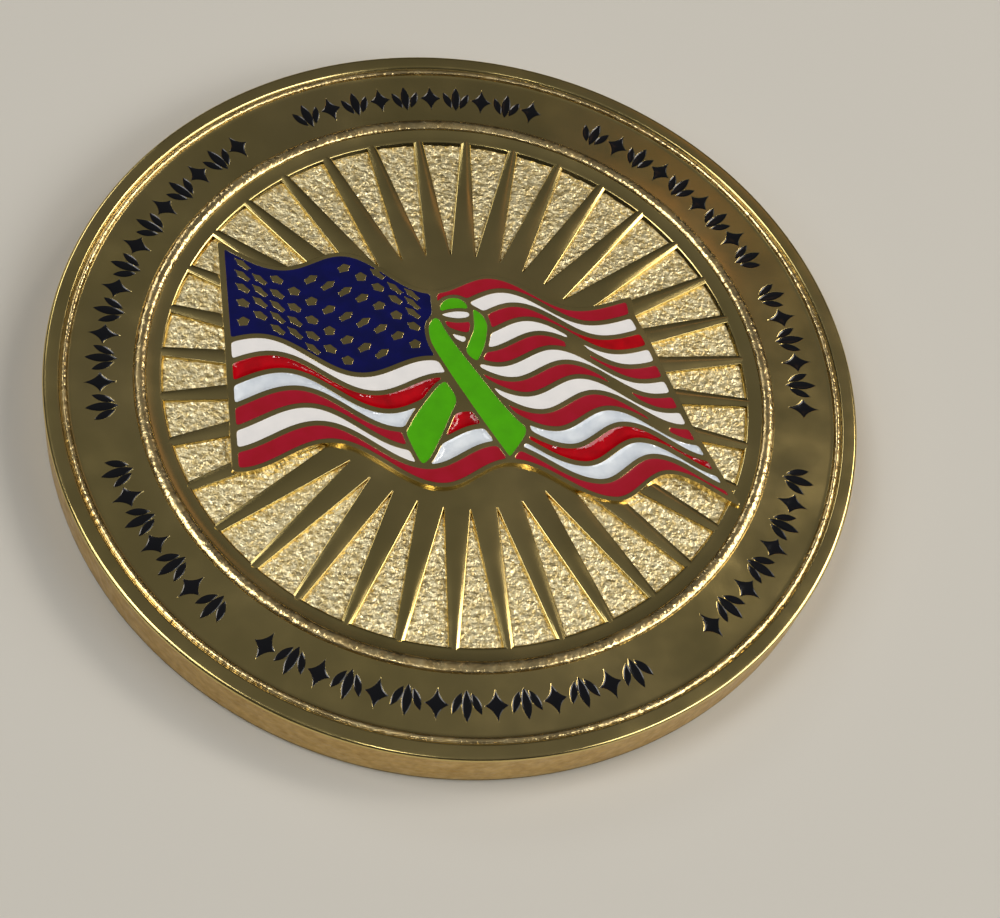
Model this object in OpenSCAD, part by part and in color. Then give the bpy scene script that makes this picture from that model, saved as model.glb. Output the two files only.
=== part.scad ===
// Challenge coin: one struck and gold-plated metal blank whose recesses are
// filled with separate deposits of coloured enamel.
// Frame: origin at the centre of the reverse rim, +Z out of the front face,
// +Y towards the top of the design, +X to its right.

/* [Blank] */
// Outer diameter of the coin
coin_d = 44.45; // [44:0.05:46]
// Thickness over the two rims
coin_t = 3.0; // [2.8:0.05:3.6]
// Radius of the rounded corners of the edge
edge_round = 0.3; // [0.15:0.05:0.4]

/* [Front rings] */
// Inner radius of the polished front rim
rim_in_r = 21.4; // [21.2:0.05:21.5]
// Outer radius of the flat polished band
band_out_r = 20.8; // [20.6:0.05:21]
// Inner radius of the flat polished band
band_in_r = 17.6; // [17.5:0.05:17.8]
// Depth of the band under the rim
band_drop = 0.28; // [0.2:0.02:0.4]
// Radius of the middle of the raised ring inside the band
ridge_r = 17.2; // [17.15:0.01:17.25]
// Width of the raised ring
ridge_w = 0.7; // [0.5:0.05:0.75]
// Height of the raised ring over the band
ridge_h = 0.22; // [0.1:0.02:0.26]
// Radius where the inner slope ends and the field wall begins
slope_in_r = 16.3; // [16.2:0.05:16.5]
// Radius of the sunk field
field_r = 15.95; // [15.8:0.05:16.05]
// Depth of the sunk field under the band
field_drop = 0.34; // [0.2:0.02:0.5]

/* [Sunburst] */
// Number of raised rays
rays = 36; // [24:1:48]
// Height of the rays over the sunk field
ray_h = 0.2; // [0.1:0.02:0.3]
// Width of a ray at its outer end
ray_end_w = 0.56; // [0.4:0.02:0.8]
// Radius of the plain disc from which the rays spring
disc_r = 8.1; // [7:0.1:9]

/* [Flag and ribbon] */
// Height of the metal lines of the flag over the sunk field
relief_h = 0.45; // [0.35:0.02:0.5]
// Width of the metal line between two stripes
line_w = 0.3; // [0.24:0.02:0.34]
// Width of the metal border along the hoist and the fly
border_w = 0.34; // [0.25:0.02:0.4]
// How far the metal reaches past the flag's top and bottom lines
edge_line_w = 0.1; // [0.08:0.02:0.2]
// Width of the metal border around the ribbon
ribbon_line_w = 0.22; // [0.18:0.02:0.26]
// Size of a star across its points
star_d = 0.78; // [0.6:0.02:0.9]

/* [Enamel] */
// Depth of the enamel recesses under the metal lines
pocket_depth = 0.3; // [0.2:0.02:0.34]
// How far the enamel stays under the metal lines
enamel_drop = 0.06; // [0.02:0.01:0.1]
// Depth of the recesses in the band
band_pocket_depth = 0.16; // [0.1:0.02:0.2]
// How far the enamel stays under the band
band_enamel_drop = 0.03; // [0.01:0.01:0.06]
// Height of an ornament figure on the band
figure_h = 1.75; // [1.4:0.05:2]
// Angle from one ornament figure to the next
figure_pitch = 4.5; // [4.3:0.1:5]

/* [Reverse] */
// Width of the reverse rim
reverse_rim_w = 1.4; // [1:0.1:2]
// Depth of the plain reverse field
reverse_drop = 0.3; // [0.2:0.02:0.4]

/* [Hidden] */

coin_r = coin_d / 2;
band_z = coin_t - band_drop;
field_z = band_z - field_drop;
ray_z = field_z + ray_h;
relief_z = field_z + relief_h;
stripes = 13;
canton_stripes = 7;
canton_end = 1.0;
canton_line_w = 0.36;
wave_step = 0.55;
overlap = 0.2;

// Each wave crest or trough runs down the flag on two straight lines: from the
// top edge to the canton's lower edge, and from there to the bottom edge.
fold_lines = [
    [[-20.0, 8.6], [-15.8, 0.9], [-12.1, -6.0]],
    [[-15.4, 9.2], [-10.9, 2.3], [-7.2, -4.2]],
    [[-9.5, 6.75], [-5.4, -0.1], [-1.4, -6.85]],
    [[-6.2, 7.8], [-1.6, 1.05], [2.3, -5.35]],
    [[-1.3, 5.4], [3.5, -1.2], [7.9, -7.65]],
    [[2.0, 6.5], [6.6, 0.0], [10.9, -6.0]],
    [[6.9, 4.43], [11.4, -2.15], [15.7, -8.2]],
    [[11.4, 5.4], [15.6, -1.2], [20.0, -7.0]]];

// Left and right ends of the enamel, from top to bottom
hoist_edge = [[-12.75, 9], [-12.4, 2.3], [-12.0, -7.5]];
fly_edge = [[9.7, 6], [9.85, 4], [10.5, 2.4], [11.2, 0.2], [12.3, -3.2], [14.3, -8]];

// The ribbon's four enamel fields
front_leg = [[-1.24, 3.68], [-1.52, 3.28], [-1.6, 2.8], [-1.52, 2.16], [-1.28, 1.52],
    [-0.88, 0.72], [-0.4, -0.24], [0.16, -1.28], [0.8, -2.48], [2.3, -5.12], [3.32, -3.52],
    [2.8, -2.72], [2.0, -1.6], [1.2, -0.32], [0.56, 0.72], [-0.08, 1.76], [-0.48, 2.48],
    [-0.72, 2.96], [-1.0, 3.6]];
loop_cap = [[-0.4, 4.26], [0.24, 4.34], [0.68, 4.28], [0.64, 4.56], [0.32, 4.92],
    [-0.16, 5.0], [-0.64, 4.8], [-0.88, 4.4], [-0.88, 4.1]];
loop_side = [[0.96, 3.68], [0.92, 2.96], [0.64, 2.24], [0.4, 1.6], [0.56, 1.2],
    [0.96, 0.88], [1.36, 1.68], [1.6, 2.56], [1.68, 3.28], [1.44, 3.92], [0.96, 4.32]];
back_leg = [[-1.28, -0.72], [-1.84, -1.44], [-2.56, -2.48], [-3.04, -3.36], [-3.16, -3.8],
    [-2.52, -5.44], [-2.24, -5.44], [-1.92, -5.04], [-1.28, -3.76], [-0.72, -2.48],
    [-0.36, -1.52], [-0.88, -0.4]];
// Plain metal where the legs cross and where the loop closes
crossing_metal = [[-1.1, -0.1], [-0.55, -1.5], [-0.3, -2.1], [0.35, -2.1], [-0.3, -0.3]];
loop_metal = [[0.0, 2.0], [0.35, 1.1], [0.6, 1.2], [0.5, 1.95]];

// Where the right-hand fold hides part of a stripe, and which stripes it hides
fold_gap = [[6.4, 2.8], [7.15, 1.9], [7.3, 1.2], [9.3, -0.9], [11.3, -3.1], [11.1, -3.9],
    [9.6, -1.9], [7.9, 0.0], [5.95, 2.0], [6.2, 2.6]];
gapped_stripes = [3, 4, 6, 8];

// Star columns, and how many stars stand in the even and odd ones
star_columns = 11;
star_rows = [5, 4];
star_first_x = -11.7;
star_column_pitch = 0.93;
star_spread = 0.92;

// First angle of each ornament group, clockwise from the top, and its figures
ornament_groups = [[-24, 10], [28.5, 9], [73, 6], [109.5, 8], [156, 14], [224.5, 7], [263.5, 14]];
figure_r = 19.24;

function mix(a, b, t) = a + (b - a) * t;
function fold_point(i, k) =
    k < canton_stripes
    ? mix(fold_lines[i][0], fold_lines[i][1], k / canton_stripes)
    : mix(fold_lines[i][1], fold_lines[i][2], (k - canton_stripes) / (stripes - canton_stripes));
function ease(t) = (1 - cos(180 * t)) / 2;

// Height of stripe boundary k at x
function wave_y(x, k, i = 0) =
    i < len(fold_lines) - 2 && x > fold_point(i + 1, k).x
    ? wave_y(x, k, i + 1)
    : let (a = fold_point(i, k), b = fold_point(i + 1, k))
        mix(a.y, b.y, ease((x - a.x) / (b.x - a.x)));
function wave_slope(x, k) = (wave_y(x + 0.05, k) - wave_y(x - 0.05, k)) / 0.1;

// Boundary k moved square to itself by d
function boundary(k, d, x0 = -13, x1 = 15) =
    let (steps = ceil((x1 - x0) / wave_step))
    [for (i = [0:steps])
        let (x = mix(x0, x1, i / steps))
            [x, wave_y(x, k) + d * sqrt(1 + pow(wave_slope(x, k), 2))]];
function backwards(p) = [for (i = [len(p) - 1:-1:0]) p[i]];

// A closed outline moved outwards by d, for an anticlockwise list of points
function unit(v) = v / norm(v);
function outward(a, b) = let (v = unit(b - a)) [v.y, -v.x];
function grown(p, d) =
    [for (i = [0:len(p) - 1])
        let (n = len(p),
            u = outward(p[(i + n - 1) % n], p[i]),
            v = outward(p[i], p[(i + 1) % n]),
            m = unit(u + v))
            p[i] + m * d / max(0.6, m * u)];

// Everything between the hoist and the fly, moved outwards by d
module between_ends(d) {
    polygon(concat(
        [for (p = hoist_edge) p - [d, 0]],
        backwards([for (p = fly_edge) p + [d, 0]])));
}

// The ribbon's four fields, moved outwards by d
module ribbon_outline(d) {
    polygon(grown(front_leg, d));
    polygon(grown(loop_cap, d));
    polygon(grown(loop_side, d));
    polygon(grown(back_leg, d));
}

// The ribbon with its metal border
module ribbon_metal() {
    ribbon_outline(ribbon_line_w);
    polygon(crossing_metal);
    polygon(loop_metal);
}

// The whole flag with its metal border
module flag_outline() {
    intersection() {
        polygon(concat(boundary(0, edge_line_w), backwards(boundary(stripes, -edge_line_w))));
        between_ends(border_w);
    }
}

// The enamel of stripe k, counted from 0 at the top
module stripe_cells(k) {
    difference() {
        intersection() {
            polygon(concat(boundary(k, -line_w / 2), backwards(boundary(k + 1, line_w / 2))));
            between_ends(0);
        }
        ribbon_metal();
        if (k < canton_stripes) translate([-14, -2]) square([14 - canton_end, 12]);
        if (len(search(k, gapped_stripes)) > 0) polygon(fold_gap);
    }
}

// A five-pointed star that leans with the wave at its place
module star(x, y, slope) {
    polygon([for (i = [0:9])
        let (r = star_d / 2 * (i % 2 == 0 ? 1 : 0.5), a = 90 + 36 * i,
            p = [r * cos(a), r * sin(a)])
            [x + p.x, y + p.y + slope * p.x]]);
}

module stars() {
    for (c = [0:star_columns - 1], r = [0:star_rows[c % 2] - 1]) {
        x = star_first_x + star_column_pitch * c;
        t = (r + (c % 2 == 0 ? 0.5 : 1)) / star_rows[0] - 0.5;
        k = canton_stripes * (0.5 + star_spread * t);
        star(x, wave_y(x, k), wave_slope(x, k));
    }
}

module canton_cell() {
    difference() {
        intersection() {
            polygon(concat(boundary(0, -line_w / 2), backwards(boundary(canton_stripes, line_w / 2))));
            between_ends(0);
        }
        translate([-canton_end - canton_line_w, -9]) square([18, 18]);
        ribbon_metal();
        stars();
    }
}

// Ornament figures of the band: a spray of three leaves, and a pointed spark
module leaf(l, w) {
    polygon([for (i = [0:9]) let (a = 36 * i) [w / 2 * sin(a) * abs(sin(a)), l / 2 * cos(a)]]);
}

module spray() {
    leaf(figure_h, 0.52);
    for (s = [-1, 1]) translate([0.5 * s, -0.12]) rotate(-24 * s) leaf(figure_h * 0.72, 0.42);
}

module spark() {
    polygon([for (i = [0:7])
        let (a = 45 * i, r = i % 2 == 0 ? figure_h / 2 : 0.36)
            [0.72 * r * sin(a), r * cos(a)]]);
}

module ornament_figures(group) {
    for (i = [0:group[1] - 1])
        rotate(-(group[0] + figure_pitch * i)) translate([0, figure_r])
            if (i % 2 == 0) spray(); else spark();
}

// A deposit of enamel in a recess of the flag, and the recess itself
module relief_fill() {
    translate([0, 0, relief_z - pocket_depth])
        linear_extrude(pocket_depth - enamel_drop) children();
}

module relief_pocket() {
    translate([0, 0, relief_z - pocket_depth])
        linear_extrude(pocket_depth + overlap) children();
}

module band_fill() {
    translate([0, 0, band_z - band_pocket_depth])
        linear_extrude(band_pocket_depth - band_enamel_drop) children();
}

module band_pocket() {
    translate([0, 0, band_z - band_pocket_depth])
        linear_extrude(band_pocket_depth + overlap) children();
}

function arc(cx, cz, r, a0, a1, n = 6) =
    [for (i = [0:n]) let (a = mix(a0, a1, i / n)) [cx + r * cos(a), cz + r * sin(a)]];

// The turned blank: rims, rings and fields of both faces
module blank() {
    e = edge_round;
    reverse_in_r = coin_r - reverse_rim_w;
    rotate_extrude($fn = 360)
        polygon(concat(
            [[0, reverse_drop], [reverse_in_r - 0.3, reverse_drop], [reverse_in_r, 0]],
            arc(coin_r - e, e, e, -90, 0),
            arc(coin_r - e, coin_t - e, e, 0, 90),
            [[rim_in_r, coin_t], [rim_in_r - 0.15, coin_t - 0.12], [band_out_r, band_z],
                [band_in_r, band_z]],
            [for (i = [1:7])
                let (a = 180 * i / 8)
                    [ridge_r + ridge_w / 2 * cos(a), band_z + ridge_h * sin(a)]],
            [[ridge_r - ridge_w / 2, band_z], [slope_in_r, band_z - 0.1], [field_r, field_z],
                [0, field_z]]));
}

module sunburst() {
    ray_base = disc_r * tan(180 / rays);
    ray_out_r = field_r + 0.15;
    translate([0, 0, field_z - overlap]) linear_extrude(ray_h + overlap) {
        circle(r = disc_r, $fn = 180);
        for (i = [0:rays - 1])
            rotate(360 / rays * (i + 0.5))
                polygon([[disc_r - 0.4, -ray_base], [ray_out_r, -ray_end_w / 2],
                    [ray_out_r, ray_end_w / 2], [disc_r - 0.4, ray_base]]);
    }
}

module coin_body() color("darkgoldenrod") {
    difference() {
        union() {
            blank();
            sunburst();
            translate([0, 0, field_z - overlap]) linear_extrude(relief_h + overlap) {
                flag_outline();
                ribbon_metal();
            }
        }
        relief_pocket() canton_cell();
        for (k = [0:stripes - 1]) relief_pocket() stripe_cells(k);
        relief_pocket() ribbon_outline(0);
        for (group = ornament_groups) band_pocket() ornament_figures(group);
    }
}

module canton_enamel() color("midnightblue") relief_fill() canton_cell();
module red_stripe(i) color("crimson") relief_fill() stripe_cells(2 * i - 2);
module white_stripe(i) color("whitesmoke") relief_fill() stripe_cells(2 * i - 1);
module ribbon_front_leg() color("limegreen") relief_fill() polygon(front_leg);
module ribbon_back_leg() color("limegreen") relief_fill() polygon(back_leg);
module ribbon_loop_cap() color("limegreen") relief_fill() polygon(loop_cap);
module ribbon_loop_side() color("limegreen") relief_fill() polygon(loop_side);
module ornament_group(i) color("black") band_fill() ornament_figures(ornament_groups[i - 1]);

coin_body();
canton_enamel();
red_stripe(1);  // red_stripe_1
red_stripe(2);  // red_stripe_2
red_stripe(3);  // red_stripe_3
red_stripe(4);  // red_stripe_4
red_stripe(5);  // red_stripe_5
red_stripe(6);  // red_stripe_6
red_stripe(7);  // red_stripe_7
white_stripe(1);  // white_stripe_1
white_stripe(2);  // white_stripe_2
white_stripe(3);  // white_stripe_3
white_stripe(4);  // white_stripe_4
white_stripe(5);  // white_stripe_5
white_stripe(6);  // white_stripe_6
ribbon_front_leg();
ribbon_back_leg();
ribbon_loop_cap();
ribbon_loop_side();
ornament_group(1);  // ornament_group_1
ornament_group(2);  // ornament_group_2
ornament_group(3);  // ornament_group_3
ornament_group(4);  // ornament_group_4
ornament_group(5);  // ornament_group_5
ornament_group(6);  // ornament_group_6
ornament_group(7);  // ornament_group_7
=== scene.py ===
import math

import bmesh
import bpy
import numpy as np
from mathutils import Matrix, Vector, kdtree
from mathutils.geometry import delaunay_2d_cdt


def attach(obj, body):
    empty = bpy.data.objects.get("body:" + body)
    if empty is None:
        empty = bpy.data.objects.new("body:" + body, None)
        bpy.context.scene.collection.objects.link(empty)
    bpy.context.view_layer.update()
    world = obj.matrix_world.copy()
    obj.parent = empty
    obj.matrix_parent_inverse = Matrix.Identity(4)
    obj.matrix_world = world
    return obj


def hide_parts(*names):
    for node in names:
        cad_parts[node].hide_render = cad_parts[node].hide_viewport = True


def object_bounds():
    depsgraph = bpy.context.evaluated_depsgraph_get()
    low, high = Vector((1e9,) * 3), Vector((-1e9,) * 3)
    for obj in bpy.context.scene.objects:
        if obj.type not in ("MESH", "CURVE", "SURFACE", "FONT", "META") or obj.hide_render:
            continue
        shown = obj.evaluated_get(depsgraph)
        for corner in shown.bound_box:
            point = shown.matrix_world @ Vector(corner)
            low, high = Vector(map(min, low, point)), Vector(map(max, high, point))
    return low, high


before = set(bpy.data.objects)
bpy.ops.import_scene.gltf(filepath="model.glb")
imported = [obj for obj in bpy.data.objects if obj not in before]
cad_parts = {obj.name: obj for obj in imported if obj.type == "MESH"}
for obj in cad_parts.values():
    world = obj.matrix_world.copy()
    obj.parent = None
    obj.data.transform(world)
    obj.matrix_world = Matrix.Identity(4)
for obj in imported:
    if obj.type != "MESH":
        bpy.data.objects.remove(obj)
cad_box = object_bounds()

# ---------------------------------------------------------------------------
# Gold plate: a few micrometres of gold over polished brass. Flats and rays keep
# the die's mirror polish, the field between the rays is sandblasted in the die
# and so scatters light, and the raised rings and the edge are rubbed to satin.
# ---------------------------------------------------------------------------
MM = 0.001


def linear(hex_colour):
    """An sRGB hex colour as linear RGBA."""
    channels = [int(hex_colour[i:i + 2], 16) / 255 for i in (1, 3, 5)]
    return [c / 12.92 if c <= 0.04045 else ((c + 0.055) / 1.055) ** 2.4 for c in channels] + [1.0]


def add(tree, kind, settings=None, links=None):
    """Adds a node. Settings are its properties and input values, and links join its inputs to
    outputs. An input goes by its name, or by its number where a name repeats."""
    node = tree.nodes.new(kind)
    for name, value in (settings or {}).items():
        if isinstance(name, int) or name in node.inputs:
            node.inputs[name].default_value = value
        else:
            setattr(node, name, value)
    for name, source in (links or {}).items():
        tree.links.new(source, node.inputs[name])
    return node


def finish(name, shader, colours, patches, depth_mm, gloss=None, contrast=(0.3, 0.7)):
    """A Principled material. Patches holds noises as (size in mm, detail, roughness): "shade" mixes
    the two colours, "gloss" spreads the roughness over the two values of gloss, and "grain" is
    bump of a real depth. Contrast is the part of the shade noise that the mix runs through."""
    mat = bpy.data.materials.new(name)
    mat.use_nodes = True
    tree = mat.node_tree
    bsdf = tree.nodes["Principled BSDF"]
    for socket, value in shader.items():
        bsdf.inputs[socket].default_value = value
    place = add(tree, "ShaderNodeTexCoord").outputs["Object"]
    noise = {use: add(tree, "ShaderNodeTexNoise",
                      {"Scale": 1 / (size * MM), "Detail": detail, "Roughness": fine},
                      {"Vector": place}).outputs["Fac"]
             for use, (size, detail, fine) in patches.items()}
    mix = add(tree, "ShaderNodeMapRange", {"From Min": contrast[0], "From Max": contrast[1]},
              {"Value": noise["shade"]})
    colour = add(tree, "ShaderNodeMix",
                 {"data_type": "RGBA", 6: linear(colours[0]), 7: linear(colours[1])},
                 {0: mix.outputs["Result"]})
    tree.links.new(colour.outputs[2], bsdf.inputs["Base Color"])
    if gloss:
        rub = add(tree, "ShaderNodeMapRange",
                  {"From Min": 0.3, "From Max": 0.7, "To Min": gloss[0], "To Max": gloss[1]},
                  {"Value": noise["gloss"]})
        tree.links.new(rub.outputs["Result"], bsdf.inputs["Roughness"])
    relief = add(tree, "ShaderNodeBump", {"Strength": 1.0, "Distance": depth_mm * MM},
                 {"Height": noise["grain"]})
    tree.links.new(relief.outputs["Normal"], bsdf.inputs["Normal"])
    return mat


# Mirror-struck plate, handled: faint smears and hairlines break up the reflection
polished_gold = finish(
    "polished_gold_plate", {"Metallic": 1.0}, ("#CEB874", "#DAC280"),
    {"shade": (7.0, 2.0, 0.5), "gloss": (3.0, 3.0, 0.5), "grain": (0.3, 4.0, 0.6)}, 0.0016, (0.12, 0.24))
# Sandblasted plate: a pale grain that glitters, drawn coarser than real grit so that it shows
blasted_gold = finish(
    "sandblasted_gold_plate", {"Metallic": 1.0}, ("#D6C086", "#FEF0C2"),
    {"shade": (0.28, 2.0, 0.7), "gloss": (0.4, 2.0, 0.5), "grain": (0.24, 1.5, 0.5)}, 0.12,
    (0.37, 0.53), (0.38, 0.62))
# Satin plate: small rubbed dents break its highlights into specks, drawn coarser than real ones.
# The rings and the bead are rubbed to satin, and their paler gold is a painted highlight; the rolled edge
# is duller and deeper in colour.
SATIN = {"shade": (0.5, 3.0, 0.5), "gloss": (1.2, 3.0, 0.5), "grain": (0.3, 1.5, 0.5)}
SATIN_DENTS = 0.05
ring_gold_painted_highlight = finish("rubbed_gold_painted_highlight", {"Metallic": 1.0}, ("#D2B478", "#EAD29A"),
                   SATIN, SATIN_DENTS, (0.2, 0.32))
edge_gold = finish("rolled_gold_edge", {"Metallic": 1.0}, ("#BE9A54", "#D8B874"),
                   SATIN, SATIN_DENTS, (0.32, 0.46))

# ---------------------------------------------------------------------------
# The die drawing: the waving flag and the crossed ribbon as plain outlines. The
# die-maker cut these lines, the press raised them as thin metal walls, and each
# space between the walls is filled with its own enamel. Millimetres.
# ---------------------------------------------------------------------------
STRIPES = 13
CANTON_STRIPES = 7
LINE_W = 0.3
HOIST_FLY_W = 0.34
EDGE_LINE_W = 0.1
RIBBON_LINE_W = 0.22
CANTON_END = -1.0
CANTON_LINE_W = 0.36
# The stripe lines run past both ends of the cloth, to be cut off there
LINES_FROM, LINES_TO = -13.2, 15.2
# Wave crests and troughs: on the top edge, on the canton's lower edge, on the bottom edge
FOLDS = (
    ((-20.0, 8.6), (-15.8, 0.9), (-12.1, -6.0)),
    ((-15.4, 9.2), (-10.9, 2.3), (-7.2, -4.2)),
    ((-9.5, 6.75), (-5.4, -0.1), (-1.4, -6.85)),
    ((-6.2, 7.8), (-1.6, 1.05), (2.3, -5.35)),
    ((-1.3, 5.4), (3.5, -1.2), (7.9, -7.65)),
    ((2.0, 6.5), (6.6, 0.0), (10.9, -6.0)),
    ((6.9, 4.43), (11.4, -2.15), (15.7, -8.2)),
    ((11.4, 5.4), (15.6, -1.2), (20.0, -7.0)))
HOIST = ((-12.75, 9), (-12.4, 2.3), (-12.0, -7.5))
FLY = ((9.7, 6), (9.85, 4), (10.5, 2.4), (11.2, 0.2), (12.3, -3.2), (14.3, -8))
FRONT_LEG = (
    (-1.24, 3.68), (-1.52, 3.28), (-1.6, 2.8), (-1.52, 2.16), (-1.28, 1.52), (-0.88, 0.72),
    (-0.4, -0.24), (0.16, -1.28), (0.8, -2.48), (2.3, -5.12), (3.32, -3.52), (2.8, -2.72),
    (2.0, -1.6), (1.2, -0.32), (0.56, 0.72), (-0.08, 1.76), (-0.48, 2.48), (-0.72, 2.96), (-1.0, 3.6))
LOOP_CAP = (
    (-0.4, 4.26), (0.24, 4.34), (0.68, 4.28), (0.64, 4.56), (0.32, 4.92), (-0.16, 5.0),
    (-0.64, 4.8), (-0.88, 4.4), (-0.88, 4.1))
LOOP_SIDE = (
    (0.96, 3.68), (0.92, 2.96), (0.64, 2.24), (0.4, 1.6), (0.56, 1.2), (0.96, 0.88),
    (1.36, 1.68), (1.6, 2.56), (1.68, 3.28), (1.44, 3.92), (0.96, 4.32))
BACK_LEG = (
    (-1.28, -0.72), (-1.84, -1.44), (-2.56, -2.48), (-3.04, -3.36), (-3.16, -3.8), (-2.52, -5.44),
    (-2.24, -5.44), (-1.92, -5.04), (-1.28, -3.76), (-0.72, -2.48), (-0.36, -1.52), (-0.88, -0.4))
RIBBON = {"front_leg": FRONT_LEG, "loop_cap": LOOP_CAP, "loop_side": LOOP_SIDE, "back_leg": BACK_LEG}
# Bare metal where the ribbon's legs cross, inside its loop, and in one deep fold of the cloth
CROSSING_METAL = ((-1.1, -0.1), (-0.55, -1.5), (-0.3, -2.1), (0.35, -2.1), (-0.3, -0.3))
LOOP_METAL = ((0.0, 2.0), (0.35, 1.1), (0.6, 1.2), (0.5, 1.95))
FOLD_GAP = (
    (6.2, 2.6), (5.95, 2.0), (7.9, 0.0), (9.6, -1.9), (11.1, -3.9), (11.3, -3.1), (9.3, -0.9),
    (7.3, 1.2), (7.15, 1.9), (6.4, 2.8))
GAPPED_STRIPES = (3, 4, 6, 8)


def fold_point(fold, k):
    """Where a crest or trough line meets stripe boundary k."""
    top, middle, bottom = (np.array(p, float) for p in fold)
    if k < CANTON_STRIPES:
        return top + (middle - top) * k / CANTON_STRIPES
    return middle + (bottom - middle) * (k - CANTON_STRIPES) / (STRIPES - CANTON_STRIPES)


def wave_y(x, k):
    """Height of stripe boundary k at x: a cosine from each crest to the next trough."""
    points = [fold_point(f, k) for f in FOLDS]
    for a, b in zip(points, points[1:]):
        if x <= b[0] or b is points[-1]:
            s = (1 - math.cos(math.pi * (x - a[0]) / (b[0] - a[0]))) / 2
            return a[1] + (b[1] - a[1]) * s


def wave_slope(x, k):
    """Slope of stripe boundary k at x."""
    return (wave_y(x + 0.05, k) - wave_y(x - 0.05, k)) / 0.1


def boundary(k, d, step=0.2):
    """Boundary k from left to right, moved square to itself by d."""
    xs = np.arange(LINES_FROM, LINES_TO, step)
    return [(x, wave_y(x, k) + d * math.hypot(1, wave_slope(x, k))) for x in xs]


def band_between(upper, lower, upper_d, lower_d):
    """The outline between two stripe boundaries."""
    return boundary(lower, lower_d) + boundary(upper, upper_d)[::-1]


def grown(points, d):
    """An anticlockwise outline moved outwards by d."""
    p = np.array(points, float)
    ahead = np.roll(p, -1, axis=0) - p
    ahead /= np.linalg.norm(ahead, axis=1)[:, None]
    n_ahead = np.stack([ahead[:, 1], -ahead[:, 0]], axis=1)
    n_back = np.roll(n_ahead, 1, axis=0)
    m = n_ahead + n_back
    m /= np.linalg.norm(m, axis=1)[:, None]
    # At a sharp corner the mitre is held short
    mitre = np.maximum(0.6, (m * n_back).sum(axis=1))
    return [tuple(q) for q in p + m * (d / mitre)[:, None]]


def between_ends(d):
    """The outline between the hoist and fly ends, each moved outwards by d."""
    return [(x - d, y) for x, y in HOIST] + [(x + d, y) for x, y in FLY[::-1]]


def rounded(points, per_span=5, sharp=0.35):
    """A closed outline through the points, curved by Catmull-Rom. A turn stays sharp where the
    cosine of its angle is below sharp."""
    p = np.array(points, float)
    n = len(p)
    out = []
    for i in range(n):
        a, b, c, d = p[i - 1], p[i], p[(i + 1) % n], p[(i + 2) % n]
        if np.dot(b - a, c - b) < sharp * np.linalg.norm(b - a) * np.linalg.norm(c - b):
            a = b - (c - b)
        if np.dot(c - b, d - c) < sharp * np.linalg.norm(c - b) * np.linalg.norm(d - c):
            d = c + (c - b)
        for j in range(per_span):
            t = j / per_span
            out.append(tuple(0.5 * (2 * b + (c - a) * t + (2 * a - 5 * b + 4 * c - d) * t * t
                                    + (3 * b - a - 3 * c + d) * t ** 3)))
    return out


# Stars: soft five-pointed studs that lean with the cloth, in columns of five and four
STAR_R = 0.3
STAR_POINTINESS = 0.3
STAR_LEAN = 1.2
STAR_STRETCH = 0.45
STAR_COLUMNS = 11
FIRST_STAR_X = -11.7
STAR_PITCH = 0.93
STARS_HEIGHT = 0.92
stars = []
for c in range(STAR_COLUMNS):
    x = FIRST_STAR_X + STAR_PITCH * c
    for r in range(5 - c % 2):
        from_middle = (r + (1 if c % 2 else 0.5)) / 5 - 0.5
        k = CANTON_STRIPES * (0.5 + STARS_HEIGHT * from_middle)
        y, slope = wave_y(x, k), wave_slope(x, k)
        lean, stretch = STAR_LEAN * slope, 1 + STAR_STRETCH * min(1, abs(slope))
        angles = np.linspace(0, 2 * math.pi, 40, endpoint=False)
        radii = STAR_R * (1 + STAR_POINTINESS * np.cos(5 * (angles - math.pi / 2)))
        px, py = radii * np.cos(angles) * stretch, radii * np.sin(angles) / stretch
        stars.append(list(zip(x + px, y + py + lean * px)))


def box(left, right, low, high):
    return [(left, low), (right, low), (right, high), (left, high)]


# The canton's box and the box of what it hides reach past the cloth on their free sides
outlines = {"flag": band_between(0, STRIPES, EDGE_LINE_W, -EDGE_LINE_W),
            "flag_ends": between_ends(HOIST_FLY_W),
            "cloth": between_ends(0),
            "canton": band_between(0, CANTON_STRIPES, -LINE_W / 2, LINE_W / 2),
            "canton_side": box(-14, CANTON_END - CANTON_LINE_W, -9, 9.5),
            "behind_canton": box(-14, CANTON_END, -2, 10),
            "gap": FOLD_GAP, "metal_crossing": CROSSING_METAL, "metal_loop": LOOP_METAL}
for k in range(STRIPES):
    outlines[f"stripe_{k}"] = band_between(k, k + 1, -LINE_W / 2, LINE_W / 2)
for name, points in RIBBON.items():
    outlines["ribbon_" + name] = rounded(points)
    outlines["metal_" + name] = rounded(grown(points, RIBBON_LINE_W))
for i, star in enumerate(stars):
    outlines[f"star_{i}"] = star


def owner(inside):
    """What fills a spot of the drawing, from the outlines that it is inside."""
    for name in inside:
        if name.startswith("ribbon_"):
            return name
    if any(name.startswith("metal_") for name in inside):
        return "metal"
    if not {"flag", "flag_ends"} <= inside:
        return "outside"
    if "cloth" not in inside:
        return "metal"
    if {"canton", "canton_side"} <= inside:
        return "metal" if any(name.startswith("star_") for name in inside) else "canton"
    for name in inside:
        if name.startswith("stripe_"):
            k = int(name[7:])
            hidden = k < CANTON_STRIPES and "behind_canton" in inside
            if hidden or (k in GAPPED_STRIPES and "gap" in inside):
                return "metal"
            return name
    return "metal"


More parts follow.
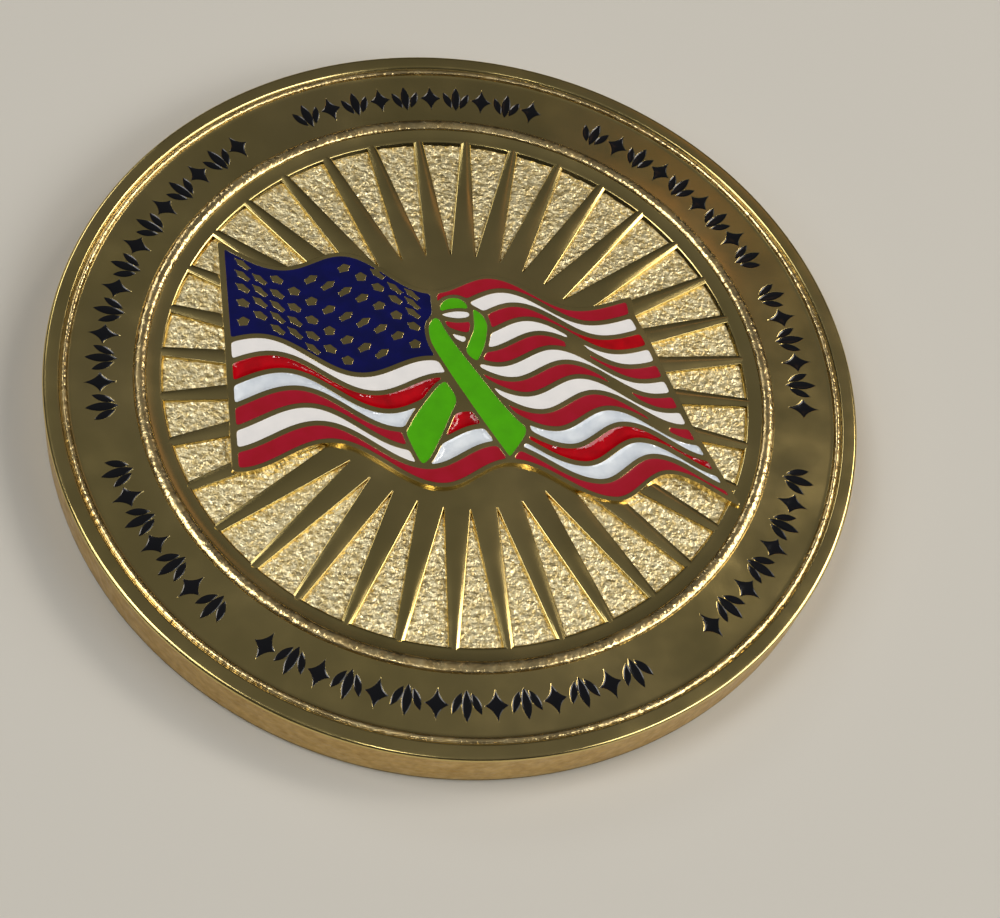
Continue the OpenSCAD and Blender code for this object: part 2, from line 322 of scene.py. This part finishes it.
def directed_loops(cells, tris, verts, name="metal"):
    """The closed loops round everything that name fills, which stays on their left, and for each
    loop what lies across it."""
    across = {}
    for tri, cell in zip(tris, cells):
        for a, b in zip(tri, tri[1:] + tri[:1]):
            across[(a, b)] = cell
    follow = {}
    for (a, b), cell in across.items():
        other = across.get((b, a), "outside")
        if cell == name and other != name:
            follow.setdefault(a, []).append((b, other))
    loops = []
    while follow:
        start = next(iter(follow))
        loop, here, votes = [], start, {}
        while here in follow:
            nexts = follow[here]
            b, other = nexts.pop()
            if not nexts:
                del follow[here]
            loop.append(verts[here])
            votes[other] = votes.get(other, 0) + 1
            here = b
        loops.append((np.array(loop), max(votes, key=votes.get)))
    return loops


def area(loop):
    """The area inside a closed loop, below zero where it runs clockwise."""
    x, y = loop[:, 0], loop[:, 1]
    return 0.5 * float(np.sum(x * np.roll(y, -1) - np.roll(x, -1) * y))


def even(loop, step, soften=2):
    """A closed loop with points one step apart, its corners softened."""
    closed = np.vstack([loop, loop[:1]])
    lengths = np.concatenate([[0], np.cumsum(np.linalg.norm(np.diff(closed, axis=0), axis=1))])
    n = max(8, int(round(lengths[-1] / step)))
    at = np.linspace(0, lengths[-1], n, endpoint=False)
    p = np.stack([np.interp(at, lengths, closed[:, i]) for i in (0, 1)], axis=1)
    for _ in range(soften):
        p = (np.roll(p, 1, axis=0) + 2 * p + np.roll(p, -1, axis=0)) / 4
    return p


# The outlines cut each other into cells, and the metal's loops round the cells are the walls
WALL_STEP = 0.12
SMALLEST_CELL = 0.06
points, faces = [], []
names = list(outlines)
for name in names:
    loop = np.array(outlines[name], float)
    if area(loop) < 0:
        loop = loop[::-1]
    faces.append(list(range(len(points), len(points) + len(loop))))
    points += [Vector(p) for p in loop]
verts, _, tris, _, _, held = delaunay_2d_cdt(points, [], faces, 1, 1e-5, True)
cells = [owner({names[i] for i in ids}) for ids in held]
walls = []
for loop, filling in directed_loops(cells, [list(t) for t in tris], [tuple(v) for v in verts]):
    if abs(area(loop)) > SMALLEST_CELL:
        walls.append((even(loop, WALL_STEP), filling))

# ---------------------------------------------------------------------------
# The blank: a brass disc struck between two dies. Its rim, bead, flat band and
# raised ring are turned into the die, and the ornament figures stand sunk in the
# band. The edge is rolled, and the plain back has a rim to lie on.
# ---------------------------------------------------------------------------
COIN_R = (cad_box[1].x - cad_box[0].x) / 2 / MM
COIN_T = cad_box[1].z / MM
BAND_Z = COIN_T - 0.28
FIELD_Z = BAND_Z - 0.34
RAY_Z = FIELD_Z + 0.2
RELIEF_Z = FIELD_Z + 0.45
TURNS = 360
BAND_OUT, BAND_IN = 20.74, 17.62
FIGURE_R, FIGURE_H, FIGURE_PITCH = 19.24, 1.75, 4.5
FIGURE_LIP = 0.004
FIGURE_DEPTH = 0.16
EDGE_ROUND = 0.2
BACK_ROUND = 0.3
BACK_Z = 0.3
# Where the tops of the raised ring and of the bead are rubbed to satin and painted paler, a painted
# highlight
RING_RUBBED_PAINTED_HIGHLIGHT = (16.87, 17.55)
BEAD_RUBBED_PAINTED_HIGHLIGHT = (20.92, 21.27)
# First angle of each ornament group, clockwise from the top, and its figures
ORNAMENT_GROUPS = ((-24, 10), (28.5, 9), (73, 6), (109.5, 8), (156, 14), (224.5, 7), (263.5, 14))


def arc(cr, cz, radius, start, end, n=8):
    """Points on a circular arc of the turned section, angles in degrees."""
    return [(cr + radius * math.cos(math.radians(a)), cz + radius * math.sin(math.radians(a)))
            for a in np.linspace(start, end, n + 1)]


def spin(section):
    """Turns a section, listed from the inside out over the top, into a surface of revolution."""
    turn = np.linspace(0, 2 * math.pi, TURNS, endpoint=False)
    verts, faces = [], []
    for r, z in section:
        count = 1 if r == 0 else TURNS
        verts += [(r * math.cos(a), r * math.sin(a), z) for a in turn[:count]]
    start = 0
    for (r0, _), (r1, _) in zip(section, section[1:]):
        n0, n1 = (1 if r0 == 0 else TURNS), (1 if r1 == 0 else TURNS)
        for i in range(TURNS):
            j = (i + 1) % TURNS
            a, b = start + i % n0, start + j % n0
            c, d = start + n0 + j % n1, start + n0 + i % n1
            faces.append([v for v in dict.fromkeys((a, d, c, b))])
        start += n0
    return np.array(verts), faces


def sheet(loops, profile, sharp=()):
    """A surface over everything on the left of the loops. Its height follows profile, a list of
    (distance from the nearest loop, height). Loops whose number is in sharp don't bend it."""
    rings, heights, soft = [], [], []
    for i, loop in enumerate(loops):
        flat = i in sharp
        rings.append(loop)
        heights.append(np.full(len(loop), profile[-1][1] if flat else profile[0][1]))
        if not flat:
            soft.append(loop)
    tree = kdtree.KDTree(sum(len(s) for s in soft))
    for i, p in enumerate(np.vstack(soft)):
        tree.insert((p[0], p[1], 0), i)
    tree.balance()
    extra, extra_z = [], []
    for loop in soft:
        along = np.roll(loop, -1, axis=0) - np.roll(loop, 1, axis=0)
        along /= np.linalg.norm(along, axis=1)[:, None]
        inward = np.stack([-along[:, 1], along[:, 0]], axis=1)
        for d, z in profile[1:]:
            for p in loop + inward * d:
                # A point that lies nearer to another loop is left to that loop
                if tree.find((p[0], p[1], 0))[2] > 0.93 * d:
                    extra.append(p)
                    extra_z.append(z)
    points = np.vstack(rings + ([np.array(extra)] if extra else []))
    z = np.concatenate(heights + [np.array(extra_z)])
    faces, holes, first = [], set(), 0
    for i, loop in enumerate(loops):
        order = list(range(first, first + len(loop)))
        if area(loop) < 0:
            order.reverse()
            holes.add(i)
        faces.append(order)
        first += len(loop)
    plan = [Vector(p) for p in points]
    out, _, tris, from_points, _, held = delaunay_2d_cdt(plan, [], faces, 1, 1e-6, True)
    out_z = [z[ids[0]] for ids in from_points]
    verts = np.array([(v[0], v[1], h) for v, h in zip(out, out_z)])
    return verts, [list(t) for t, ids in zip(tris, held)
                   if sum(-1 if i in holes else 1 for i in ids) == 1]


def drop(loop, top, low):
    """The wall down from a loop that keeps its solid on the left."""
    n = len(loop)
    verts = np.vstack([np.c_[loop, np.full(n, top)], np.c_[loop, np.full(n, low)]])
    return verts, [[i, n + i, n + (i + 1) % n, (i + 1) % n] for i in range(n)]


def flat_fill(loops, z, up=True):
    """A flat floor over everything on the left of the loops, facing up or down."""
    verts, tris = sheet(loops, [(0, z)])
    return verts, tris if up else [t[::-1] for t in tris]


def build(name, parts, finishes, sharp_angle=38):
    """One mesh object from surfaces in millimetres that share their edges. Each part is verts, faces
    and the number of its finish."""
    verts, faces, numbers, base = [], [], [], 0
    for v, f, number in parts:
        verts.append(v)
        faces += [[base + i for i in face] for face in f]
        numbers += [number] * len(f)
        base += len(v)
    mesh = bpy.data.meshes.new(name)
    mesh.from_pydata((np.vstack(verts) * MM).tolist(), [], faces)
    mesh.polygons.foreach_set("material_index", numbers)
    for mat in finishes:
        mesh.materials.append(mat)
    bm = bmesh.new()
    bm.from_mesh(mesh)
    bmesh.ops.remove_doubles(bm, verts=bm.verts, dist=2e-7)
    bmesh.ops.dissolve_degenerate(bm, edges=bm.edges, dist=1e-8)
    bm.to_mesh(mesh)
    bm.free()
    mesh.shade_smooth()
    mesh.set_sharp_from_angle(angle=math.radians(sharp_angle))
    piece = bpy.data.objects.new(name, mesh)
    bpy.context.collection.objects.link(piece)
    return piece


def leaf(length, width, points=26):
    """A leaf that is pointed at both ends."""
    a = np.linspace(0, 2 * math.pi, points, endpoint=False)
    return np.stack([width / 2 * np.sin(a) * np.abs(np.sin(a)), length / 2 * np.cos(a)], axis=1)


def turned(points, degrees):
    """Points turned anticlockwise about the middle."""
    a = math.radians(degrees)
    return points @ np.array([[math.cos(a), math.sin(a)], [-math.sin(a), math.cos(a)]])


def spray():
    """Three leaves, clockwise, for a sunk figure."""
    leaves = [leaf(FIGURE_H, 0.52)]
    for s in (-1, 1):
        leaves.append(turned(leaf(0.72 * FIGURE_H, 0.42), -24 * s) + (0.5 * s, -0.12))
    return leaves


def spark(points=10):
    """A four-pointed spark with hollow sides, less wide than high."""
    tips = [turned(np.array([[0, FIGURE_H / 2 * (0.72 if i % 2 else 1)]]), -90 * i)[0]
            for i in range(4)]
    out = []
    for a, b in zip(tips, tips[1:] + tips[:1]):
        middle = (a + b) * 0.23
        for t in np.linspace(0, 1, points, endpoint=False):
            out.append((1 - t) ** 2 * a + 2 * t * (1 - t) * middle + t * t * b)
    return [np.array(out)]


figures = []
for first_angle, count in ORNAMENT_GROUPS:
    group = []
    for i in range(count):
        for outline in (spray(), spark())[i % 2]:
            placed = turned(outline + (0, FIGURE_R), -(first_angle + FIGURE_PITCH * i))
            group.append(placed if area(placed) < 0 else placed[::-1])
    figures.append(group)

turn = np.linspace(0, 2 * math.pi, TURNS, endpoint=False)
ring = np.stack([np.cos(turn), np.sin(turn)], axis=1)
sunk = [loop for group in figures for loop in group]
band = sheet([ring * BAND_OUT, (ring * BAND_IN)[::-1]] + sunk,
             [(0, BAND_Z - FIGURE_LIP), (0.012, BAND_Z - 0.001), (0.03, BAND_Z), (0.055, BAND_Z)],
             sharp=(0, 1))
# The turned sections, in order outwards: band to bead, valley, rim and edge, then the back
rim = ([(BAND_OUT, BAND_Z), (20.86, BAND_Z + 0.002), (20.93, BAND_Z + 0.03)]
       + arc(21.12, BAND_Z + 0.06, 0.17, 165, 40, 10)
       + [(21.28, BAND_Z + 0.15), (21.32, BAND_Z + 0.16), (21.38, BAND_Z + 0.25), (21.42, COIN_T - 0.006)]
       + [(21.48, COIN_T), (COIN_R - EDGE_ROUND - 0.04, COIN_T)]
       + arc(COIN_R - EDGE_ROUND, COIN_T - EDGE_ROUND, EDGE_ROUND, 90, 0)
       + [(COIN_R, COIN_T - EDGE_ROUND - 0.05), (COIN_R, 0.36)])
back = (arc(COIN_R - BACK_ROUND, BACK_ROUND, BACK_ROUND, 0, -90)
        + [(COIN_R - 0.34, 0), (21.0, 0), (20.94, 0.01), (20.86, 0.06), (20.7, 0.2), (20.6, 0.27)]
        + [(20.45, BACK_Z), (20.3, BACK_Z), (0.0, BACK_Z)])
# The floor under the sunburst lies a little lower than the roughened field that covers it
UNDER_FIELD = FIELD_Z - 0.05
inner = ([(0, UNDER_FIELD), (7.0, UNDER_FIELD), (15.94, UNDER_FIELD), (15.97, FIELD_Z)]
         + [(16.0, FIELD_Z + 0.03), (16.06, BAND_Z - 0.15), (16.1, BAND_Z - 0.115)]
         + [(16.2, BAND_Z - 0.104), (16.3, BAND_Z - 0.1), (16.45, BAND_Z - 0.085)]
         + [(16.75, BAND_Z - 0.03), (16.86, BAND_Z)]
         + [(17.2 - 0.35 * math.cos(a), BAND_Z + 0.22 * math.sin(a))
            for a in np.linspace(0.25, math.pi - 0.25, 10)]
         + [(17.56, BAND_Z + 0.004), (BAND_IN, BAND_Z)])
parts = [(*spin(inner), 0), (*band, 0), (*spin(rim), 0), (*spin(back), 0)]
for loop in sunk:
    parts.append((*drop(loop, BAND_Z - FIGURE_LIP, BAND_Z - FIGURE_DEPTH), 0))
    parts.append((*flat_fill([loop[::-1]], BAND_Z - FIGURE_DEPTH), 0))
POLISHED, RUBBED_PAINTED_HIGHLIGHT, ROLLED = 0, 1, 2
blank = build("struck_blank", parts, [polished_gold, ring_gold_painted_highlight, edge_gold])
for face in blank.data.polygons:
    centre = face.center / MM
    r = math.hypot(centre.x, centre.y)
    on_front = centre.z > COIN_T / 3
    if r > COIN_R - 0.03 and BACK_ROUND < centre.z < COIN_T - EDGE_ROUND:
        face.material_index = ROLLED
    # The ring and bead tops take the paler rubbed gold: a painted highlight on a satin finish
    elif on_front and any(start < r < end for start, end in (RING_RUBBED_PAINTED_HIGHLIGHT, BEAD_RUBBED_PAINTED_HIGHLIGHT)):
        face.material_index = RUBBED_PAINTED_HIGHLIGHT
    else:
        face.material_index = POLISHED
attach(blank, "root")
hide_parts("coin_body")

# ---------------------------------------------------------------------------
# The sunburst: polished rays that spring from a plain disc, and between them the
# sunk field, which the blaster roughened in the die. All struck in one piece with
# the blank.
# ---------------------------------------------------------------------------
RAYS = 36
DISC_R = 8.1
DISC_DOME = 0.03
FIELD_R = 15.95
RAY_END_W = 0.56


def ray_half_width(r):
    """From half the pitch where the rays spring to half the end width at the wall."""
    root = DISC_R * math.tan(math.pi / RAYS)
    return root + (RAY_END_W / 2 - root) * (r - DISC_R) / (FIELD_R - DISC_R)


def strip(rows):
    """Quads between rows of equal length."""
    n = len(rows[0])
    verts = np.array([p for row in rows for p in row])
    faces = [[i * n + j, (i + 1) * n + j, (i + 1) * n + j + 1, i * n + j + 1]
             for i in range(len(rows) - 1) for j in range(n - 1)]
    return verts, faces


RAY_STATIONS = (DISC_R - 0.12, DISC_R, 8.6, 9.3, 10.2, 11.2, 12.2, 13.2, 14.2, 15.0, 15.6, 16.0, 16.2)
# Half of the ray's section: distance in from the foot of its wall, height in parts of the ray's
RAY_FLANK = ((-0.035, -0.3), (-0.035, 0.0), (-0.02, 0.4), (-0.005, 0.75), (0.01, 0.92),
             (0.03, 0.98), (0.055, 1.0))
RAY_CROWN = 0.05
# The crown rises over this length from where the ray springs
CROWN_LENGTH = 3
ray_rows = []
for r in RAY_STATIONS:
    half = ray_half_width(r)
    crown = RAY_CROWN * min(1, max(0, (r - DISC_R) / CROWN_LENGTH))
    row = [(r, half - inset, FIELD_Z + rise * (RAY_Z - FIELD_Z)) for inset, rise in RAY_FLANK]
    flat = half - RAY_FLANK[-1][0]
    row += [(r, flat * s, RAY_Z + crown * (1 - s * s)) for s in (0.75, 0.4, 0, -0.4, -0.75)]
    row += [(x, -y, z) for x, y, z in row[:len(RAY_FLANK)][::-1]]
    ray_rows.append(row)
end = list(range(len(ray_rows[0])))
feet = np.array([row[j] for row in ray_rows for j in (0, -1)])
under = [[2 * i, 2 * i + 1, 2 * i + 3, 2 * i + 2] for i in range(len(ray_rows) - 1)]
ray = build("sun_ray", [(*strip(ray_rows), 0), (np.array(ray_rows[0]), [end], 0),
                        (np.array(ray_rows[-1]), [end[::-1]], 0), (feet, under, 0)], [polished_gold])

# One wedge of the field: a grid as fine as its grain, tucked a little under the rays, with a
# skirt and a floor to close it
GRID = 0.085
COLUMNS = 18
UNDER_RAY = 0.02
SKIRT = 0.08
wedge_rows = []
for r in np.arange(DISC_R - 0.05, 16.0, GRID):
    half = max(UNDER_RAY, r * math.tan(math.pi / RAYS) - ray_half_width(r) + UNDER_RAY)
    wedge_rows.append([(r, half * (1 - 2 * j / COLUMNS), FIELD_Z) for j in range(COLUMNS + 1)])
last = len(wedge_rows) - 1
border = ([(i, COLUMNS) for i in range(last + 1)] + [(last, j) for j in range(COLUMNS - 1, -1, -1)]
          + [(i, 0) for i in range(last - 1, -1, -1)] + [(0, j) for j in range(1, COLUMNS)])
skirt_top = np.array([wedge_rows[i][j] for i, j in border])
skirt_low = skirt_top - (0, 0, SKIRT)
n = len(border)
skirt = [[i, n + i, n + (i + 1) % n, (i + 1) % n] for i in range(n)]
wedge = build("blasted_wedge", [(*strip(wedge_rows), 0), (np.vstack([skirt_top, skirt_low]), skirt, 0),
                                (skirt_low, [list(range(n))[::-1]], 0)], [blasted_gold])


def burst_tree():
    """Geometry Nodes: turns one ray or wedge into a full circle of them, and roughens what lies
    above a level with a noise along Z."""
    tree = bpy.data.node_groups.new("circle_of_rays", "GeometryNodeTree")
    for name, kind in (("Geometry", "Geometry"), ("Count", "Int"), ("First angle", "Float"),
                       ("Grain size", "Float"), ("Grain height", "Float"),
                       ("Grain above", "Float"), ("Finish", "Material")):
        tree.interface.new_socket(name, in_out="INPUT", socket_type="NodeSocket" + kind)
    tree.interface.new_socket("Geometry", in_out="OUTPUT", socket_type="NodeSocketGeometry")
    given = add(tree, "NodeGroupInput").outputs
    points = add(tree, "GeometryNodePoints", links={"Count": given["Count"]})
    step = add(tree, "ShaderNodeMath", {"operation": "DIVIDE", 0: 2 * math.pi}, {1: given["Count"]})
    index = add(tree, "GeometryNodeInputIndex")
    angle = add(tree, "ShaderNodeMath", {"operation": "MULTIPLY_ADD"},
                {0: index.outputs[0], 1: step.outputs[0], 2: given["First angle"]})
    turn_z = add(tree, "ShaderNodeCombineXYZ", links={"Z": angle.outputs[0]})
    copies = add(tree, "GeometryNodeInstanceOnPoints", links={
        "Points": points.outputs[0], "Instance": given["Geometry"], "Rotation": turn_z.outputs[0]})
    real = add(tree, "GeometryNodeRealizeInstances", links={"Geometry": copies.outputs[0]})
    place = add(tree, "GeometryNodeInputPosition").outputs[0]
    scale = add(tree, "ShaderNodeMath", {"operation": "DIVIDE", 0: 1}, {1: given["Grain size"]})
    grain = add(tree, "ShaderNodeTexNoise", {"Detail": 1.0},
                {"Vector": place, "Scale": scale.outputs[0]})
    centred = add(tree, "ShaderNodeMath", {"operation": "SUBTRACT", 1: 0.5},
                  {0: grain.outputs["Fac"]})
    lift = add(tree, "ShaderNodeMath", {"operation": "MULTIPLY"},
               {0: centred.outputs[0], 1: given["Grain height"]})
    offset = add(tree, "ShaderNodeCombineXYZ", links={"Z": lift.outputs[0]})
    height = add(tree, "ShaderNodeSeparateXYZ", links={"Vector": place})
    above = add(tree, "FunctionNodeCompare", {"operation": "GREATER_THAN"},
                {0: height.outputs["Z"], 1: given["Grain above"]})
    rough = add(tree, "GeometryNodeSetPosition", links={
        "Geometry": real.outputs[0], "Selection": above.outputs[0], "Offset": offset.outputs[0]})
    finished = add(tree, "GeometryNodeSetMaterial", links={
        "Geometry": rough.outputs[0], "Material": given["Finish"]})
    add(tree, "NodeGroupOutput", links={"Geometry": finished.outputs[0]})
    return tree


def circle_of(source, name, tree, inputs):
    """A plain mesh of the whole circle made from one source piece, which is then removed."""
    modifier = source.modifiers.new("circle", "NODES")
    modifier.node_group = tree
    for item in tree.interface.items_tree:
        if item.in_out == "INPUT" and item.name in inputs:
            modifier[item.identifier] = inputs[item.name]
    evaluated = source.evaluated_get(bpy.context.evaluated_depsgraph_get())
    mesh = bpy.data.meshes.new_from_object(evaluated)
    mesh.name = name
    bpy.data.objects.remove(source)
    piece = bpy.data.objects.new(name, mesh)
    bpy.context.collection.objects.link(piece)
    return piece


# The rays stay smooth: nothing of them lies above the level, and their grain has no height
tree = burst_tree()
rays = circle_of(ray, "struck_rays", tree, {
    "Count": RAYS, "First angle": math.pi / RAYS, "Grain size": 1.0, "Grain height": 0.0,
    "Grain above": 1.0, "Finish": polished_gold})
wedges = circle_of(wedge, "blasted_field", tree, {
    "Count": RAYS, "First angle": 0.0, "Grain size": 0.32 * MM, "Grain height": 0.14 * MM,
    "Grain above": (FIELD_Z - 0.01) * MM, "Finish": blasted_gold})
disc_section = [(0, RAY_Z + DISC_DOME)]
disc_section += [(r, RAY_Z + DISC_DOME * (1 - (r / DISC_R) ** 2)) for r in (2, 4, 6, 7.4, 8.0)]
disc_section += [(DISC_R + 0.03, RAY_Z - 0.001), (DISC_R + 0.05, RAY_Z - 0.02),
                 (DISC_R + 0.05, FIELD_Z - 0.06), (0, FIELD_Z - 0.06)]
disc = build("struck_disc", [(*spin(disc_section), 0)], [polished_gold])
for piece in (rays, wedges, disc):
    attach(piece, "root")
    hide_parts("coin_body")

# ---------------------------------------------------------------------------
# The flag's and ribbon's metal: raised lines with rounded tops, borders and star
# studs, struck in one piece with the blank and polished.
# ---------------------------------------------------------------------------
LINE_PROFILE = [(0, RELIEF_Z - 0.005), (0.012, RELIEF_Z - 0.001), (0.03, RELIEF_Z), (0.055, RELIEF_Z)]
POCKET_Z = RELIEF_Z - 0.3
FOOT_Z = FIELD_Z - 0.06
parts = [(*sheet([loop for loop, _ in walls], LINE_PROFILE), 0)]
outer, fillings = [], {}
for loop, filling in walls:
    if filling == "outside":
        outer.append(loop)
    else:
        fillings.setdefault(filling, []).append(loop[::-1])
    parts.append((*drop(loop, LINE_PROFILE[0][1], FOOT_Z if filling == "outside" else POCKET_Z), 0))
for holes in fillings.values():
    parts.append((*flat_fill(holes, POCKET_Z), 0))
parts.append((*flat_fill(outer, FOOT_Z, up=False), 0))
lines = build("struck_flag_lines", parts, [polished_gold])
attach(lines, "root")
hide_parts("coin_body")

# ---------------------------------------------------------------------------
# Enamel: coloured paste dropped into each space from a needle and baked. It climbs
# the metal walls a little and sinks in the middle. Where a drop ran short it
# stays wet-looking and deep in colour.
# ---------------------------------------------------------------------------
BAKED = {"IOR": 1.5, "Roughness": 0.3, "Specular IOR Level": 0.3}
ENAMEL_CLOUDS = {"shade": (0.9, 3.0, 0.5), "grain": (0.45, 3.0, 0.5)}
# Depths of the unevenness: a baked skin is nearly level, a wet drop ripples as it cools
SKIN, RIPPLE = 0.004, 0.03
red = finish("baked_red_enamel", BAKED, ("#A01228", "#98101F"), ENAMEL_CLOUDS, SKIN)
white = finish("baked_white_enamel", BAKED, ("#EDE8E3", "#E6E2DE"), ENAMEL_CLOUDS, SKIN)
navy = finish("baked_navy_enamel", BAKED, ("#070A4C", "#05083C"), ENAMEL_CLOUDS, SKIN)
green = finish("baked_green_enamel", BAKED | {"Roughness": 0.35}, ("#4CA800", "#469C00"),
               ENAMEL_CLOUDS, SKIN)
# The ornament's black is a thin, shinier ink, and the pooled drops are as glossy as glass
GLOSSY = BAKED | {"Specular IOR Level": 0.5}
black = finish("baked_black_enamel", GLOSSY | {"Roughness": 0.14}, ("#0A0A0E", "#08080A"),
               ENAMEL_CLOUDS, SKIN)
wet_red = finish("pooled_red_enamel", GLOSSY | {"Roughness": 0.04}, ("#BC0010", "#96000A"),
                 ENAMEL_CLOUDS, RIPPLE)
wet_white = finish("pooled_white_enamel", GLOSSY | {"Roughness": 0.06}, ("#E6EAEC", "#CED4DA"),
                   ENAMEL_CLOUDS, RIPPLE)

# Profiles from the wall inwards: a full deposit, a pooled one that sags, and the black ink
FULL = [(0, RELIEF_Z - 0.015), (0.03, RELIEF_Z - 0.022), (0.08, RELIEF_Z - 0.028), (0.16, RELIEF_Z - 0.032)]
SAG, SAG_REACH = 0.16, 0.42
SUNK = [(d, RELIEF_Z - 0.02 - SAG * (1 - (1 - d / SAG_REACH) ** 2))
        for d in (0, 0.05, 0.1, 0.17, 0.25, 0.34, SAG_REACH)]
INK = [(0, BAND_Z - 0.018), (0.03, BAND_Z - 0.032), (0.09, BAND_Z - 0.045)]


def fill(name, node, groups, floor):
    """One enamel colour's deposits: groups of (loops, profile, finish), the enamel on their left."""
    parts, finishes = [], []
    for loops, profile, enamel in groups:
        if enamel not in finishes:
            finishes.append(enamel)
        number = finishes.index(enamel)
        parts.append((*sheet(loops, profile), number))
        parts.append((*flat_fill(loops, floor, up=False), number))
        for loop in loops:
            parts.append((*drop(loop, profile[0][1], floor), number))
    piece = build(name, parts, finishes)
    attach(piece, "root")
    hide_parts(node)
    return piece


fill("navy_canton_fill", "canton_enamel", [(fillings["canton"], FULL, navy)], POCKET_Z)

# Stripes whose deposits pooled, with the part of the flag's width where they did
POOLED = {8: (-math.inf, 0), 9: (-math.inf, math.inf), 10: (-2, math.inf), 11: (-2, math.inf)}
# One full red stripe kept a wet drop from here to its fly end
WET_END_STRIPE, WET_END_X = 2, 6.8
for k in range(STRIPES):
    colour, baked, wet = ("white", white, wet_white) if k % 2 else ("red", red, wet_red)
    start, end = POOLED.get(k, (0, 0))
    groups = [([loop], SUNK, wet) if start < loop[:, 0].mean() < end else ([loop], FULL, baked)
              for loop in fillings[f"stripe_{k}"]]
    piece = fill(f"{colour}_fill_{k // 2 + 1}", f"{colour}_stripe_{k // 2 + 1}",
                 groups, POCKET_Z)
    if k == WET_END_STRIPE:
        piece.data.materials.append(wet)
        for face in piece.data.polygons:
            if face.center.x > WET_END_X * MM:
                face.material_index = len(piece.data.materials) - 1

for name in RIBBON:
    fill(f"green_{name}_fill", f"ribbon_{name}",
         [(fillings["ribbon_" + name], FULL, green)], POCKET_Z)
for i, group in enumerate(figures):
    fill(f"black_ornament_fill_{i + 1}", f"ornament_group_{i + 1}",
         [([loop[::-1] for loop in group], INK, black)], BAND_Z - FIGURE_DEPTH)

# ---------------------------------------------------------------------------
# The set: a plain pale cloth-coloured table in a dim room, soft lamps, and the
# camera above the lower left of the coin, rolled a little.
# ---------------------------------------------------------------------------
bpy.ops.mesh.primitive_plane_add(size=6.0)
table = bpy.context.object
table.name = "pale_table"
cloth = bpy.data.materials.new("pale_table_cloth")
cloth.use_nodes = True
shader = cloth.node_tree.nodes["Principled BSDF"].inputs
shader["Base Color"].default_value, shader["Roughness"].default_value = linear("#CCC7BC"), 0.9
table.data.materials.append(cloth)

# A room that is brighter overhead, for the polished gold to reflect
world = bpy.data.worlds.new("dim_room")
world.use_nodes = True
sky = world.node_tree
place = add(sky, "ShaderNodeTexCoord").outputs["Generated"]
height = add(sky, "ShaderNodeSeparateXYZ", links={"Vector": place})
glow = add(sky, "ShaderNodeMapRange",
           {"From Min": 0.3, "From Max": 0.97, "To Min": 0.02, "To Max": 0.15},
           {"Value": height.outputs["Z"]})
sky.links.new(glow.outputs["Result"], sky.nodes["Background"].inputs["Strength"])
sky.nodes["Background"].inputs["Color"].default_value = (0.95, 0.97, 1.0, 1)
bpy.context.scene.world = world
bpy.context.scene.view_settings.view_transform = "Standard"


def aimed(name, data, target, distance, azimuth, elevation, roll=0):
    """Puts a lamp or the camera at angles in degrees and a distance in metres, facing the target."""
    a, e = math.radians(azimuth), math.radians(elevation)
    away = Vector((math.sin(a) * math.cos(e), -math.cos(a) * math.cos(e), math.sin(e)))
    holder = bpy.data.objects.new(name, data)
    holder.location = target + away * distance
    holder.rotation_mode = "QUATERNION"
    holder.rotation_quaternion = away.to_track_quat("Z", "Y") @ Matrix.Rotation(
        math.radians(roll), 3, "Z").to_quaternion()
    bpy.context.collection.objects.link(holder)
    return holder


# Most light comes from the right. The lamps from the left and from behind keep the far walls of the
# rays and the rings from going black, and the warm card is a faint glow on the band.
LAMP_DISTANCE = 0.6
for name, azimuth, elevation, width, height, power, colour in (
        ("high_lamp", -94, 61, 0.24, 0.24, 1.05, (1, 1, 1)),
        ("right_window", 78, 34, 0.4, 0.3, 1.4, (1, 1, 1)),
        ("front_right_lamp", 48, 38, 0.2, 0.2, 0.55, (1, 1, 1)),
        ("left_lamp", -80, 38, 0.2, 0.15, 0.3, (0.96, 0.98, 1)),
        ("back_lamp", 112, 48, 0.18, 0.14, 0.75, (1, 0.93, 0.84)),
        ("back_left_lamp", -150, 38, 0.18, 0.14, 0.25, (1, 1, 1)),
        ("small_front_lamp", -12, 55, 0.05, 0.05, 0.16, (1, 1, 1)),
        ("warm_card", 152, 46, 0.08, 0.05, 0.0045, (1, 0.5, 0.22))):
    light = bpy.data.lights.new(name, "AREA")
    light.shape, light.size, light.size_y = "RECTANGLE", width, height
    light.energy, light.color = power, colour
    aimed(name, light, Vector((0, 0, 0)), LAMP_DISTANCE, azimuth, elevation)

# Camera: a 70 mm lens about 10 cm away
lens = bpy.data.cameras.new("camera")
lens.sensor_width, lens.lens = 36, 70
lens.clip_start, lens.clip_end = 0.001, 10
bpy.context.scene.camera = aimed("camera", lens, Vector((2.0, -4.5, 1.5)) * MM, 0.1051, -19.4, 59.4, 17.2)
